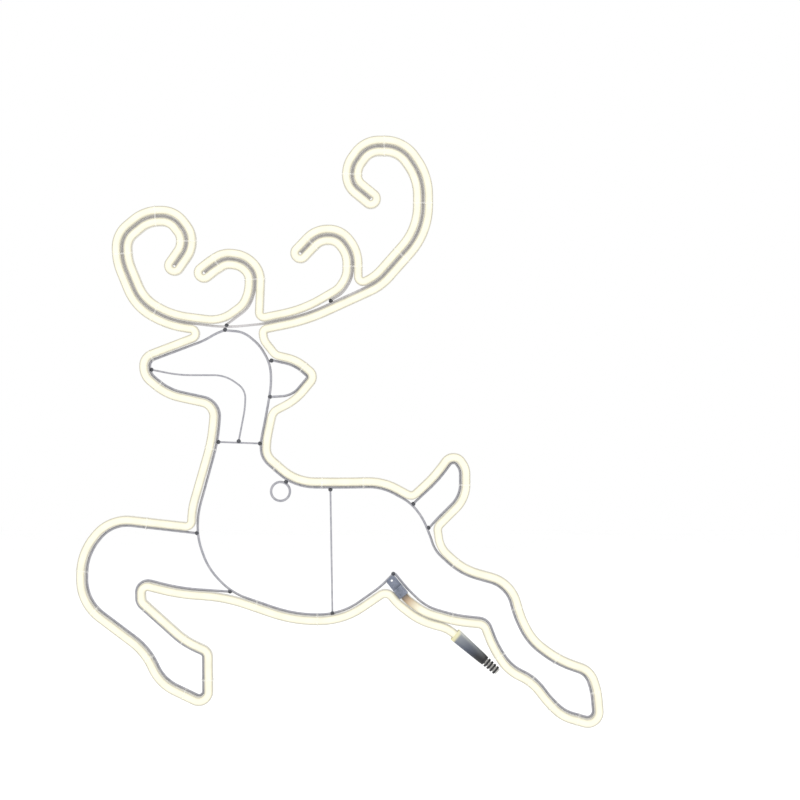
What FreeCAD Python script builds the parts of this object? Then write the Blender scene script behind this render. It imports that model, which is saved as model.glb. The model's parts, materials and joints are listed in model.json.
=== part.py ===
"""Leaping reindeer silhouette light for a garden wall or fence.

A flat frame of bent and welded round wire carries one continuous length of LED neon flex.
The flex lies beside the outline wires and doubles back on itself round every antler, with the
antler's wire held between its two runs.  Clear ties bind flex and wire together, an end cap closes
one end of the flex and a tapered boot with a ribbed strain relief takes the supply lead at the other.

Row frame: the origin is the centre of the hanging ring, +X points to the tail, +Z points up and the
lit face looks along -Y.  Lengths are millimetres.  A route is a list of corners (x, z) of a bent line
in the frame's plane; a third number is the corner's own bend radius, and every other corner is bent
as gently as its two runs allow.
"""
import FreeCAD, Part
import math
import os
import Sketcher

doc = FreeCAD.newDocument("reindeer")

# ---------------------------------------------------------------- driving dimensions

DIMENSIONS = (
    ("wire_radius", 1.5, "frame wire"),
    ("brace_radius", 1.1, "thin braces inside the outline"),
    ("ring_radius", 11.3, "hanging ring, to the middle of its wire"),
    ("bead_radius", 2.6, "weld bead"),
    ("flex_width", 10.4, "neon flex, across its lit face"),
    ("flex_depth", 14.0, "neon flex, back to crown"),
    ("flex_gap", 0.2, "between the flex and the wire beside it"),
    ("jacket_wall", 1.1, "side walls of the flex's jacket"),
    ("jacket_floor", 1.4, "back of the flex's jacket"),
    ("edge_cut", 0.8, "cut along the two back edges of the jacket"),
    ("crown_height", 3.0, "how far the diffuser stands out of the jacket"),
    ("slip", 0.05, "between the diffuser and the jacket"),
    ("strip_width", 6.0, "flexible circuit"),
    ("strip_thickness", 0.3, "flexible circuit"),
    ("chip_length", 3.5, "LED along the strip"),
    ("chip_width", 2.8, "LED across the strip"),
    ("chip_height", 0.8, "LED"),
    ("chip_pitch", 25.0, "LED to LED"),
    ("tie_width", 2.0, "cable tie strap"),
    ("tie_thickness", 0.6, "cable tie strap"),
    ("tie_slack", 0.15, "between a tie and what it holds"),
    ("tie_round", 0.9, "cable tie, corners"),
    ("tie_head", 3.2, "cable tie head, along and across the strap"),
    ("tie_head_depth", 1.9, "cable tie head"),
    ("tie_tail", 1.5, "trimmed end of a cable tie"),
    ("cap_length", 27.5, "end cap"),
    ("cap_width", 12.4, "end cap, in the frame's plane"),
    ("cap_wall", 0.9, "end cap"),
    ("cap_socket", 11.0, "how far the flex goes into the end cap"),
    ("cap_floor", 1.5, "end cap, behind its socket"),
    ("tab_depth", 5.6, "end cap's tab, front to back"),
    ("tab_round", 3.5, "end cap's tab, corners"),
    ("cap_eyelet_radius", 1.4, "hole in the end cap's tab"),
    ("cap_eyelet_edge", 4.4, "middle of that hole to the end of the tab"),
    ("boot_length", 46.0, "tapered boot without its strain relief"),
    ("boot_mouth_width", 15.8, "boot mouth, in the frame's plane"),
    ("boot_mouth_depth", 18.0, "boot mouth, front to back"),
    ("boot_end_width", 12.4, "boot where the strain relief starts"),
    ("boot_mouth_cut", 4.0, "corners of the boot's mouth"),
    ("boot_end_cut", 3.6, "corners of the boot's far end"),
    ("boot_socket", 10.0, "how far the flex goes into the boot"),
    ("relief_length", 22.0, "strain relief"),
    ("relief_rib_radius", 5.9, "strain relief rib at its large end"),
    ("relief_tip_radius", 5.3, "strain relief rib at its tip"),
    ("relief_core_radius", 3.8, "strain relief between its ribs"),
    ("relief_rib_length", 2.4, "one rib"),
    ("relief_pitch", 4.4, "rib to rib"),
    ("lead_radius", 2.7, "supply lead, so the strain relief's bore"),
    ("carrier_width", 8.0, "block that holds the boot's contacts"),
    ("carrier_depth", 9.0, "block that holds the boot's contacts, front to back"),
    ("carrier_length", 8.0, "block that holds the boot's contacts"),
    ("carrier_gap", 0.2, "end of the flex to that block"),
    ("pin_radius", 0.6, "boot contact"),
    ("pin_length", 12.0, "boot contact"),
    ("pin_spacing", 3.2, "boot contacts, centre to centre"),
)

# Sizes that follow from the ones above.  Depths run from the wires' plane towards the lit face.
WORKED_OUT = (
    ("flex_side", "=flex_width / 2", "half of the flex across its face"),
    ("beside", "=flex_side + wire_radius + flex_gap", "middle of the flex to the wire beside it"),
    ("back", "=-wire_radius", "depth of the flex's back"),
    ("crown", "=back + flex_depth", "depth of the flex's crown"),
    ("lip", "=crown - crown_height", "depth of the jacket's open edges"),
    ("bed", "=back + jacket_floor", "depth of the jacket's floor"),
    ("inside", "=flex_side - jacket_wall", "half of the room between the jacket's walls"),
    ("edge_cut_side", "=flex_side - edge_cut", "where the jacket's back edge is cut"),
    ("edge_cut_depth", "=back + edge_cut", "where the jacket's side is cut"),
    ("lens_side", "=inside - slip", "half of the diffuser"),
    ("strip_side", "=strip_width / 2", "half of the flexible circuit"),
    ("strip_top", "=bed + strip_thickness", "depth of the circuit's face"),
    ("lens_foot", "=strip_top + chip_height + slip", "depth of the diffuser's foot"),
    ("lens_radius", "=(lens_side ^ 2 + crown_height ^ 2) / (2 * crown_height)", "crown of the diffuser"),
    ("lens_centre", "=crown - lens_radius", "depth of that crown's centre"),
    ("hold_left", "=flex_side + tie_slack", "inside of a tie, beyond the flex"),
    ("hold_right", "=beside + wire_radius + tie_slack", "inside of a tie, beyond the wire"),
    ("hold_pair", "=beside + flex_side + tie_slack", "inside of a tie round two runs of flex"),
    ("hold_back", "=back - tie_slack", "inside of a tie, behind"),
    ("hold_front", "=crown + tie_slack", "inside of a tie, in front"),
    ("band_left", "=hold_left + tie_thickness", "outside of a tie, beyond the flex"),
    ("band_right", "=hold_right + tie_thickness", "outside of a tie, beyond the wire"),
    ("band_pair", "=hold_pair + tie_thickness", "outside of a tie round two runs of flex"),
    ("band_back", "=hold_back - tie_thickness", "outside of a tie, behind"),
    ("band_front", "=hold_front + tie_thickness", "outside of a tie, in front"),
    ("grip_side", "=flex_side + slip", "half of a socket for the flex"),
    ("grip_back", "=back - slip", "depth of a socket's back"),
    ("grip_front", "=crown + slip", "depth of a socket's front"),
    ("flex_middle", "=back + flex_depth / 2", "depth of the middle of the flex"),
    ("carrier_along", "=boot_socket + carrier_gap", "from the boot's mouth to its contacts"),
    ("cap_side", "=cap_width / 2", "half of the end cap"),
    ("cap_back", "=grip_back - cap_wall", "depth of the end cap's back"),
    ("cap_front", "=grip_front + cap_wall", "depth of the end cap's front"),
    ("tab_back", "=flex_middle - tab_depth / 2", "depth of the tab's back"),
    ("tab_front", "=flex_middle + tab_depth / 2", "depth of the tab's front"),
    ("cap_body", "=cap_socket + cap_floor", "end cap without its tab"),
    ("eyelet_along", "=cap_length - cap_eyelet_edge", "from the cap's mouth to its eyelet"),
    ("mouth_side", "=boot_mouth_width / 2", "half of the boot's mouth"),
    ("mouth_back", "=flex_middle - boot_mouth_depth / 2", "depth of the mouth's back"),
    ("mouth_front", "=flex_middle + boot_mouth_depth / 2", "depth of the mouth's front"),
    ("end_side", "=boot_end_width / 2", "half of the boot's far end"),
    ("end_back", "=flex_middle - end_side", "depth of the far end's back"),
    ("end_front", "=flex_middle + end_side", "depth of the far end's front"),
    ("mouth_cut_side", "=mouth_side - boot_mouth_cut", "start of the cut at the mouth's corners"),
    ("mouth_cut_back", "=mouth_back + boot_mouth_cut", "the same, at the back"),
    ("mouth_cut_front", "=mouth_front - boot_mouth_cut", "the same, in front"),
    ("end_cut_side", "=end_side - boot_end_cut", "start of the cut at the far end's corners"),
    ("end_cut_back", "=end_back + boot_end_cut", "the same, at the back"),
    ("end_cut_front", "=end_front - boot_end_cut", "the same, in front"),
    ("hollow_back", "=flex_middle - lead_radius", "depth of the hollow's back at the far end"),
    ("hollow_front", "=flex_middle + lead_radius", "depth of the hollow's front at the far end"),
)

sheet = doc.addObject("Spreadsheet::Sheet", "dim")
for row, (word, value, meaning) in enumerate(DIMENSIONS + WORKED_OUT, start=1):
    sheet.set("A%d" % row, meaning)
    sheet.set("B%d" % row, str(value))
    sheet.setAlias("B%d" % row, word)
doc.recompute()


def cell(word):
    """The value of one driving dimension."""
    return float(sheet.get(word))


BESIDE = cell("beside")
EASE = 0.47                         # share of the shorter run that a free bend takes up

# ---------------------------------------------------------------- routes

# Antler spines, base to tip: the wire that lies between two runs of flex.
LEFT_ANTLER = [(-66.5, 196.5), (-131.5, 205.0), (-168.5, 226.0), (-189.5, 277.5), (-189.5, 305.5),
               (-160.0, 330.0), (-129.0, 330.0), (-112.5, 308.5), (-112.5, 291.0), (-126.5, 271.0)]
LEFT_TINE = [(-64.0, 200.7), (-38.5, 219.5), (-31.0, 238.0), (-30.0, 262.0), (-45.0, 277.0),
             (-66.5, 279.5), (-81.0, 270.5), (-91.0, 262.5)]
RIGHT_ANTLER = [(-66.5, 196.5), (-22.0, 201.0, 120), (29.5, 211.5), (117.0, 251.5, 60), (171.0, 312.5),
                (171.0, 376.5), (144.5, 414.0), (104.0, 414.0), (86.0, 389.5), (86.0, 369.0),
                (108.0, 351.0)]
RIGHT_TINE = [(60.0, 229.2), (75.0, 238.0), (86.5, 256.5), (86.5, 286.0), (70.0, 307.5),
              (45.0, 307.5), (24.5, 286.0)]

# Middle of the flex round the head, body and legs, in the order that it runs from the boot to the cap.
BOOT_RUN = [(201.3, -164.3), (167.0, -155.0), (139.5, -133.5), (128.0, -118.5, 10)]
BELLY = [(75.0, -154.5), (16.0, -154.5), (-65.5, -126.5), (-120.5, -123.0), (-166.5, -111.5, 7.5),
         (-166.0, -132.0, 9)]
FORELEG = [(-113.5, -179.0), (-86.0, -191.5, 11), (-85.5, -258.5, 12), (-144.5, -230.0),
           (-162.0, -192.0), (-239.0, -134.0), (-239.0, -73.5), (-204.0, -31.5), (-106.5, -42.5, 7)]
NECK = [(-105.5, -20.0), (-82.0, 61.5), (-78.5, 103.5, 17), (-136.0, 116.0), (-163.5, 138.8),
        (-163.5, 161.2), (-104.5, 183.9)]
EAR = [(-21.0, 192.0), (-19.5, 181.0), (-5.5, 163.5, 12), (20.0, 157.5), (42.5, 138.5, 9.5),
       (18.5, 109.5), (-9.0, 95.5, 14)]
BACK_LINE = [(-16.2, 61.5), (-16.5, 43.0), (19.0, 12.0), (77.5, 11.5), (123.0, 12.5)]
TAIL = [(158.0, -6.5, 9), (184.0, 17.5), (201.5, 41.0), (213.5, 41.0), (222.5, 28.0), (222.5, -8.0),
        (188.0, -42.5, 10)]
RUMP = [(191.5, -67.5), (219.5, -93.0), (264.0, -105.5), (280.0, -121.5), (288.5, -152.0),
        (303.0, -178.5), (334.0, -201.5)]
HIND_HOOF = [(371.5, -214.5), (380.0, -238.5), (383.5, -282.5, 14), (338.0, -269.5), (320.0, -252.5)]
SHANK = [(302.0, -228.5), (273.0, -214.5), (255.0, -188.0), (244.0, -159.0, 10), (209.5, -155.5),
         (172.0, -144.5)]

CAP_MOUTH = (148.1, -124.5)
CAP_HEADING = (-0.63, 0.777)        # from the cap's mouth to its closed end
CAP_APPROACH = 6.0                  # straight flex before the cap's mouth
BOOT_MOUTH = (209.0, -171.0)
BOOT_HEADING = (0.753, -0.658)      # from the boot's mouth to its strain relief
FOLD_BEND = 5.8                     # tightest bend of the flex, at the roots of the antlers
TIP_BEND = 0.98                     # share of the way between two antler runs that the turn at a tip fills
TIP_ROOM = 0.5                      # from the end of an antler's wire to the middle of that turn


def heading(start, end):
    """Unit vector from start to end."""
    run = math.dist(start[:2], end[:2])
    return ((end[0] - start[0]) / run, (end[1] - start[1]) / run)


def moved(point, direction, distance):
    """The point a distance away in a direction."""
    return (point[0] + direction[0] * distance, point[1] + direction[1] * distance)


def left_of(direction):
    """The direction a quarter turn to the left."""
    return (-direction[1], direction[0])


def crossing(start, end, other_start, other_end):
    """Where two lines, each through two points, cross."""
    along = heading(start, end)
    other = heading(other_start, other_end)
    gap = (other_start[0] - start[0], other_start[1] - start[1])
    reach = (gap[0] * other[1] - gap[1] * other[0]) / (along[0] * other[1] - along[1] * other[0])
    return moved(start, along, reach)


def turn_at(before, corner, after):
    """Signed turn of a route at a corner, positive to the left."""
    arriving = heading(before, corner)
    leaving = heading(corner, after)
    cross = arriving[0] * leaving[1] - arriving[1] * leaving[0]
    dot = arriving[0] * leaving[0] + arriving[1] * leaving[1]
    return math.atan2(cross, dot)


def bent(route):
    """The same route with a bend radius at every corner, none at its two ends."""
    corners = [(route[0][0], route[0][1], 0.0)]
    for before, corner, after in zip(route, route[1:], route[2:]):
        if len(corner) == 3:
            corners.append(tuple(corner))
            continue
        shorter = min(math.dist(before[:2], corner[:2]), math.dist(corner[:2], after[:2]))
        half_turn = abs(turn_at(before, corner, after)) / 2
        corners.append((corner[0], corner[1], EASE * shorter / math.tan(half_turn)))
    corners.append((route[-1][0], route[-1][1], 0.0))
    return corners


def beside(route, distance):
    """A bent route that runs beside another, a distance to its left, or to its right if negative."""
    last = len(route) - 1
    shifted = []
    for place, corner in enumerate(route):
        before = route[max(place - 1, 0)]
        after = route[min(place + 1, last)]
        if place in (0, last):
            away = left_of(heading(before, after))
            shifted.append((*moved(corner, away, distance), 0.0))
            continue
        turn = turn_at(before, corner, after)
        arriving = heading(before, corner)
        aside = moved(corner, left_of(arriving), distance)
        aside = moved(aside, arriving, -distance * math.tan(turn / 2))
        shifted.append((*aside, corner[2] - math.copysign(distance, distance * turn)))
    return shifted


def met(first, second, radius):
    """Two routes as one: their last and first runs are taken to where they cross."""
    corner = crossing(first[-2], first[-1], second[0], second[1])
    return first[:-1] + [(*corner, radius)] + second[1:]


def round_tip(spine, outward, homeward):
    """Flex out along one side of an antler's wire, round its tip and back along the other side."""
    ahead = heading(spine[-2], spine[-1])
    reach = TIP_ROOM + BESIDE
    corners = [(*moved(run[-1], ahead, reach), TIP_BEND * BESIDE) for run in (outward, homeward)]
    return outward[:-1] + corners + homeward[-2::-1]


# ---------------------------------------------------------------- the flex and the wires as routes

boot_seat = moved(BOOT_MOUTH, BOOT_HEADING, cell("boot_socket"))
cap_seat = moved(CAP_MOUTH, CAP_HEADING, cell("cap_socket") - cell("slip"))
cap_bend = (*moved(CAP_MOUTH, CAP_HEADING, -CAP_APPROACH), 45)
left_antler = bent(LEFT_ANTLER)
left_tine = bent(LEFT_TINE)
right_antler = bent(RIGHT_ANTLER)
right_tine = bent(RIGHT_TINE)
front = bent([boot_seat] + BOOT_RUN + BELLY + FORELEG + NECK)
rear = bent(EAR + BACK_LINE + TAIL + RUMP + HIND_HOOF + SHANK + [cap_bend, cap_seat])

flex = met(front, round_tip(left_antler, beside(left_antler, BESIDE), beside(left_antler, -BESIDE)),
           FOLD_BEND)
flex = met(flex, round_tip(left_tine, beside(left_tine, BESIDE), beside(left_tine[2:], -BESIDE)), 42)
flex = met(flex, beside(right_antler[1:3], BESIDE), FOLD_BEND)
flex = met(flex, round_tip(right_tine, beside(right_tine, BESIDE), beside(right_tine[2:], -BESIDE)), 150)
flex = met(flex, round_tip(right_antler, beside(right_antler[2:], BESIDE),
                           beside(right_antler[1:], -BESIDE)), FOLD_BEND)
flex = met(flex, rear, FOLD_BEND)

front_side = beside(front, -BESIDE)
rear_side = beside(rear, -BESIDE)


def stretch(side, route, first, last):
    """The wire's corners beside the flex, from the flex's corner called first to the one called last."""
    places = {corner[:2]: place for place, corner in enumerate(route)}
    return side[places[first[:2]]:places[last[:2]] + 1]


antler_wire = bent(LEFT_ANTLER[:0:-1] + RIGHT_ANTLER)
chest_wire = bent([(133.9, -100.2), (120.5, -114.0)]
                  + stretch(front_side, front, BELLY[0], BELLY[1])
                  + [(-59.0, -121.5), (-87.0, -92.0), (-99.3, -57.0), (-99.3, -27.0)]
                  + stretch(front_side, front, NECK[1], NECK[5])
                  + [(-92.0, 180.8), (-78.0, 189.2), (-68.6, 192.9)])
foreleg_wire = bent([(-61.8, -120.2)]
                    + stretch(front_side, front, BELLY[3], FORELEG[7])
                    + [(-101.7, -50.0)])
spine_wire = bent([(-64.4, 193.1), (-44.5, 191.5), (-24.5, 175.5), (-12.0, 152.0), (-11.0, 128.0),
                   (-16.0, 98.0), (-23.6, 60.0, 60)]
                  + stretch(rear_side, rear, BACK_LINE[1], BACK_LINE[4])
                  + [(156.0, -13.3), (171.0, -32.0), (180.5, -56.0, 90)]
                  + stretch(rear_side, rear, RUMP[0], SHANK[5])
                  + [(154.4, -119.3), (137.3, -98.4)])
ear_side = stretch(rear_side, rear, EAR[3], EAR[5])
ear_wire = bent([(-9.2, 157.2)] + ear_side[:2] + [ear_side[2][:2], (-11.3, 113.4)])
tail_wire = bent([(160.5, -13.6)] + stretch(rear_side, rear, TAIL[1], TAIL[5])
                 + [(188.0, -32.7), (179.0, -43.0)])
jaw_wire = bent([(-154.1, 145.9), (-122.0, 139.5), (-66.0, 139.5), (-42.0, 122.0), (-42.5, 100.0),
                 (-50.1, 60.6)])


# ---------------------------------------------------------------- drawing with bound sizes

nodes = []              # every node of the assembly, as objects whose labels are the nodes' names


def bound(item, **sizes):
    """Tie properties of an object to formulas on the sheet."""
    for name, formula in sizes.items():
        item.setExpression(name, formula)
    return item


def amount(word):
    """A cell's value, with its sign turned where the word starts with a minus."""
    return -cell(word[1:]) if word.startswith("-") else cell(word)


def formula(word):
    """The same as an expression."""
    return "-dim." + word[1:] if word.startswith("-") else "dim." + word


def pin_down(sketch, geometry, point, across, along):
    """Hold one sketch point at two cells."""
    for kind, word in (("DistanceX", across), ("DistanceY", along)):
        place = sketch.addConstraint(Sketcher.Constraint(kind, geometry, point, amount(word)))
        sketch.setExpression("Constraints[%d]" % place, formula(word))


def outline(sketch, corners):
    """Closed outline of straight lines, every corner held at its two cells."""
    points = [FreeCAD.Vector(amount(across), amount(along), 0) for across, along in corners]
    first = sketch.GeometryCount
    count = len(points)
    for place in range(count):
        sketch.addGeometry(Part.LineSegment(points[place], points[(place + 1) % count]), False)
    for place in range(count):
        following = first + (place + 1) % count
        sketch.addConstraint(Sketcher.Constraint("Coincident", first + place, 2, following, 1))
    for place, (across, along) in enumerate(corners):
        pin_down(sketch, first + place, 1, across, along)
    return sketch


def box_outline(sketch, side, low, high):
    """Rectangle about the sketch's vertical axis."""
    return outline(sketch, [("-" + side, low), (side, low), (side, high), ("-" + side, high)])


def cut_outline(sketch, name):
    """Rectangle with cut corners about the sketch's vertical axis, from the cells that share a name."""
    side, back, front = [name + end for end in ("_side", "_back", "_front")]
    cut_side, cut_back, cut_front = [name + "_cut" + end for end in ("_side", "_back", "_front")]
    return outline(sketch, [
        ("-" + cut_side, back), (cut_side, back), (side, cut_back), (side, cut_front), (cut_side, front),
        ("-" + cut_side, front), ("-" + side, cut_front), ("-" + side, cut_back)])


def frame_at(point, direction):
    """Placement of a section: X to the left of the route, Y to the lit face, Z along the route."""
    left = left_of(direction)
    turned = FreeCAD.Rotation(FreeCAD.Vector(left[0], 0, left[1]), FreeCAD.Vector(0, -1, 0),
                              FreeCAD.Vector(direction[0], 0, direction[1]), "ZXY")
    return FreeCAD.Placement(FreeCAD.Vector(point[0], 0, point[1]), turned)


def node(item, name):
    """Name an object as a node of the assembly."""
    item.Label = name
    nodes.append(item)
    return item


def group(name, items):
    """One node out of several solids."""
    gathered = doc.addObject("Part::Compound", name + "_group")
    gathered.Links = items
    return node(gathered, name)


# ---------------------------------------------------------------- sections

jacket_section = outline(doc.addObject("Sketcher::SketchObject", "jacket_section"), [
    ("-edge_cut_side", "back"), ("edge_cut_side", "back"), ("flex_side", "edge_cut_depth"),
    ("flex_side", "lip"), ("inside", "lip"), ("inside", "bed"), ("-inside", "bed"),
    ("-inside", "lip"), ("-flex_side", "lip"), ("-flex_side", "edge_cut_depth")])

lens_section = doc.addObject("Sketcher::SketchObject", "lens_section")
lens_corners = [("-lens_side", "lip"), ("-lens_side", "lens_foot"), ("lens_side", "lens_foot"),
                ("lens_side", "lip")]
lens_points = [FreeCAD.Vector(amount(across), amount(along), 0) for across, along in lens_corners]
for start, end in zip(lens_points, lens_points[1:]):
    lens_section.addGeometry(Part.LineSegment(start, end), False)
lens_section.addGeometry(Part.Arc(lens_points[3], FreeCAD.Vector(0, cell("crown"), 0), lens_points[0]), False)
for place in range(3):
    lens_section.addConstraint(Sketcher.Constraint("Coincident", place, 2, place + 1, 1))
    pin_down(lens_section, place, 1, *lens_corners[place])
pin_down(lens_section, 2, 2, *lens_corners[3])
lens_section.addConstraint(Sketcher.Constraint("Coincident", 3, 2, 0, 1))
crown_place = lens_section.addConstraint(Sketcher.Constraint("DistanceY", 3, 3, cell("lens_centre")))
lens_section.setExpression("Constraints[%d]" % crown_place, "dim.lens_centre")

strip_section = box_outline(doc.addObject("Sketcher::SketchObject", "strip_section"),
                            "strip_side", "bed", "strip_top")
wire_section = bound(doc.addObject("Part::Circle", "wire_section"), Radius="dim.wire_radius")
brace_section = bound(doc.addObject("Part::Circle", "brace_section"), Radius="dim.brace_radius")
doc.recompute()

# ---------------------------------------------------------------- routes as edges, and what follows them

LONGEST_STRETCH = 130.0             # a long piece is drawn as stretches, each no longer than this
LARGEST_TURN = math.radians(48)     # of one arc
MOST_TURN = math.radians(62)        # of one stretch
LARGEST_BOW = 2.2                   # of one arc, off its own chord
MOST_BOW = 6.0                      # of one stretch, off its own chord, if its turn were all at its middle
SHORTEST_EDGE = 0.02


def raised(point):
    """A point of the frame's plane in space."""
    return FreeCAD.Vector(point[0], 0, point[1])


def pieces_of(route):
    """The route's lines and arcs in order: (edge, length, signed turn, first point, first heading)."""
    pieces = []
    here = route[0][:2]
    for before, corner, after in zip(route, route[1:], route[2:]):
        turn = turn_at(before, corner, after)
        along = heading(before, corner)
        start = moved(corner, along, -corner[2] * math.tan(abs(turn) / 2))
        if math.dist(here, start) > SHORTEST_EDGE:
            line = Part.LineSegment(raised(here), raised(start)).toShape()
            pieces.append((line, math.dist(here, start), 0.0, here, along))
        else:
            start = here
        centre = moved(start, left_of(along), math.copysign(corner[2], turn))
        parts = math.ceil(max(abs(turn) / LARGEST_TURN, math.sqrt(turn ** 2 * corner[2] / 8 / LARGEST_BOW)))
        angle = math.atan2(start[1] - centre[1], start[0] - centre[0])
        for part in range(parts):
            half = turn / parts / 2
            low = angle + part * 2 * half
            ends = [moved(centre, (math.cos(low + step * half), math.sin(low + step * half)), corner[2])
                    for step in range(3)]
            spin = left_of((math.cos(low), math.sin(low)))
            spin = (math.copysign(spin[0], spin[0] * turn), math.copysign(spin[1], spin[1] * turn))
            arc = Part.Arc(*[raised(end) for end in ends]).toShape()
            pieces.append((arc, abs(2 * half) * corner[2], 2 * half, ends[0], spin))
            here = ends[2]
    last = route[-1][:2]
    pieces.append((Part.LineSegment(raised(here), raised(last)).toShape(), math.dist(here, last), 0.0,
                   here, heading(here, last)))
    return pieces


def stretches_of(route):
    """The route's lines and arcs gathered into stretches."""
    gathered = []
    length = turned = math.inf
    for piece in pieces_of(route):
        bow = (length + piece[1]) * (turned + abs(piece[2])) / 4
        if length + piece[1] > LONGEST_STRETCH or turned + abs(piece[2]) > MOST_TURN or bow > MOST_BOW:
            gathered.append([])
            length = turned = 0.0
        gathered[-1].append(piece)
        length += piece[1]
        turned += abs(piece[2])
    return gathered


def followed(name, route, section):
    """A section swept along a route, as stretches that meet end to end."""
    swept = []
    for number, pieces in enumerate(stretches_of(route)):
        path = doc.addObject("Part::Feature", "%s_path_%d" % (name, number))
        path.Shape = Part.Wire([piece[0] for piece in pieces])
        profile = doc.addObject("App::Link", "%s_section_%d" % (name, number))
        profile.LinkedObject = section
        profile.Placement = frame_at(pieces[0][3], pieces[0][4])
        sweep = doc.addObject("Part::Sweep", "%s_%d" % (name, number))
        sweep.Sections = [profile]
        sweep.Spine = (path, ["Edge%d" % (place + 1) for place in range(len(pieces))])
        sweep.Solid = True
        sweep.Frenet = False
        swept.append(sweep)
    return group(name, swept)


flex_jacket = followed("flex_jacket", flex, jacket_section)
flex_diffuser = followed("flex_diffuser", flex, lens_section)
led_strip = followed("led_strip", flex, strip_section)
wires = [followed("antler_wire", antler_wire, wire_section),
         followed("left_tine_wire", left_tine, wire_section),
         followed("right_tine_wire", right_tine, wire_section),
         followed("head_chest_wire", chest_wire, wire_section),
         followed("back_leg_wire", spine_wire, wire_section),
         followed("foreleg_wire", foreleg_wire, wire_section),
         followed("ear_wire", ear_wire, wire_section),
         followed("tail_wire", tail_wire, wire_section),
         followed("jaw_wire", jaw_wire, brace_section)]
doc.recompute()


def place_along(route, distance):
    """Point and heading a distance along a route."""
    for edge, length, turn, start, along in pieces_of(route):
        if distance > length:
            distance -= length
            continue
        if turn == 0.0:
            return moved(start, along, distance), along
        swung = turn * distance / length
        chord = 2 * length / turn * math.sin(swung / 2)
        return moved(start, spun(along, swung / 2), chord), spun(along, swung)
    return route[-1][:2], along


def spun(direction, angle):
    """A direction turned to the left by an angle."""
    across = left_of(direction)
    return (direction[0] * math.cos(angle) + across[0] * math.sin(angle),
            direction[1] * math.cos(angle) + across[1] * math.sin(angle))


def nearest(route, target):
    """Placement on a route at the place nearest a point."""
    spots = []
    for edge, length, turn, start, along in pieces_of(route):
        if math.dist(start, target) > length + 40:
            continue
        count = math.ceil(length)
        for step in range(count + 1):
            swung = turn * step / count
            chord = length * step / count if turn == 0.0 else 2 * length / turn * math.sin(swung / 2)
            spots.append((moved(start, spun(along, swung / 2), chord), spun(along, swung)))
    point, direction = min(spots, key=lambda spot: math.dist(spot[0], target))
    return frame_at(point, direction)


def copies(name, item, placements):
    """One node of equal parts: copies of an object's shape at several placements."""
    gathered = doc.addObject("Part::Feature", name)
    gathered.Shape = Part.Compound([item.Shape.transformed(place.toMatrix(), True) for place in placements])
    return node(gathered, name)


# ---------------------------------------------------------------- ring and straight braces

ring = bound(doc.addObject("Part::Torus", "hanging_ring"), Radius1="dim.ring_radius",
             Radius2="dim.wire_radius")
ring.Placement = FreeCAD.Placement(FreeCAD.Vector(0, 0, 0), FreeCAD.Rotation(FreeCAD.Vector(1, 0, 0), 90))
wires.append(node(ring, "hanging_ring"))

BRACES = (("neck_brace", (-74.0, 59.3), (-25.3, 57.5)),
          ("body_brace", (59.9, 2.8), (62.3, -144.2)))
for name, start, end in BRACES:
    brace = bound(doc.addObject("Part::Cylinder", name), Radius="dim.brace_radius")
    brace.Height = math.dist(start, end)
    brace.Placement = frame_at(start, heading(start, end))
    wires.append(node(brace, name))

# ---------------------------------------------------------------- light emitting diodes

chip = bound(doc.addObject("Part::Box", "led_chip"), Length="dim.chip_width", Width="dim.chip_height",
             Height="dim.chip_length")
bound(chip, **{"Placement.Base.x": "-dim.chip_width / 2", "Placement.Base.y": "dim.strip_top",
               "Placement.Base.z": "-dim.chip_length / 2"})
doc.recompute()
flex_length = sum(piece[1] for piece in pieces_of(flex))
chip_count = int(flex_length / cell("chip_pitch"))
margin = (flex_length - (chip_count - 1) * cell("chip_pitch")) / 2
copies("led_chips", chip, [frame_at(*place_along(flex, margin + number * cell("chip_pitch")))
                           for number in range(chip_count)])

# ---------------------------------------------------------------- bodies in their own axes


def body_named(name, placement=None):
    """A body, drawn about its own origin and moved to its place."""
    body = doc.addObject("PartDesign::Body", name)
    if placement is not None:
        body.Placement = placement
    return body


def sketch_in(body, name, plane, offset=None):
    """A sketch on one of the body's own planes, with an offset along its normal held at a cell."""
    sketch = body.newObject("Sketcher::SketchObject", name)
    origin = [feature for feature in body.Origin.OriginFeatures if feature.Role == plane][0]
    sketch.AttachmentSupport = [(origin, "")]
    sketch.MapMode = "FlatFace"
    if offset:
        sketch.setExpression("AttachmentOffset.Base.z", "dim." + offset)
    return sketch


def added(body, kind, name, profile, **settings):
    """A feature of a body from a sketch; a word for a cell is bound, anything else is set."""
    feature = body.newObject(kind, name)
    feature.Profile = profile
    for key, value in settings.items():
        if isinstance(value, str) and value.startswith("dim."):
            feature.setExpression(key, value)
        else:
            setattr(feature, key, value)
    doc.recompute()
    return feature


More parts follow.
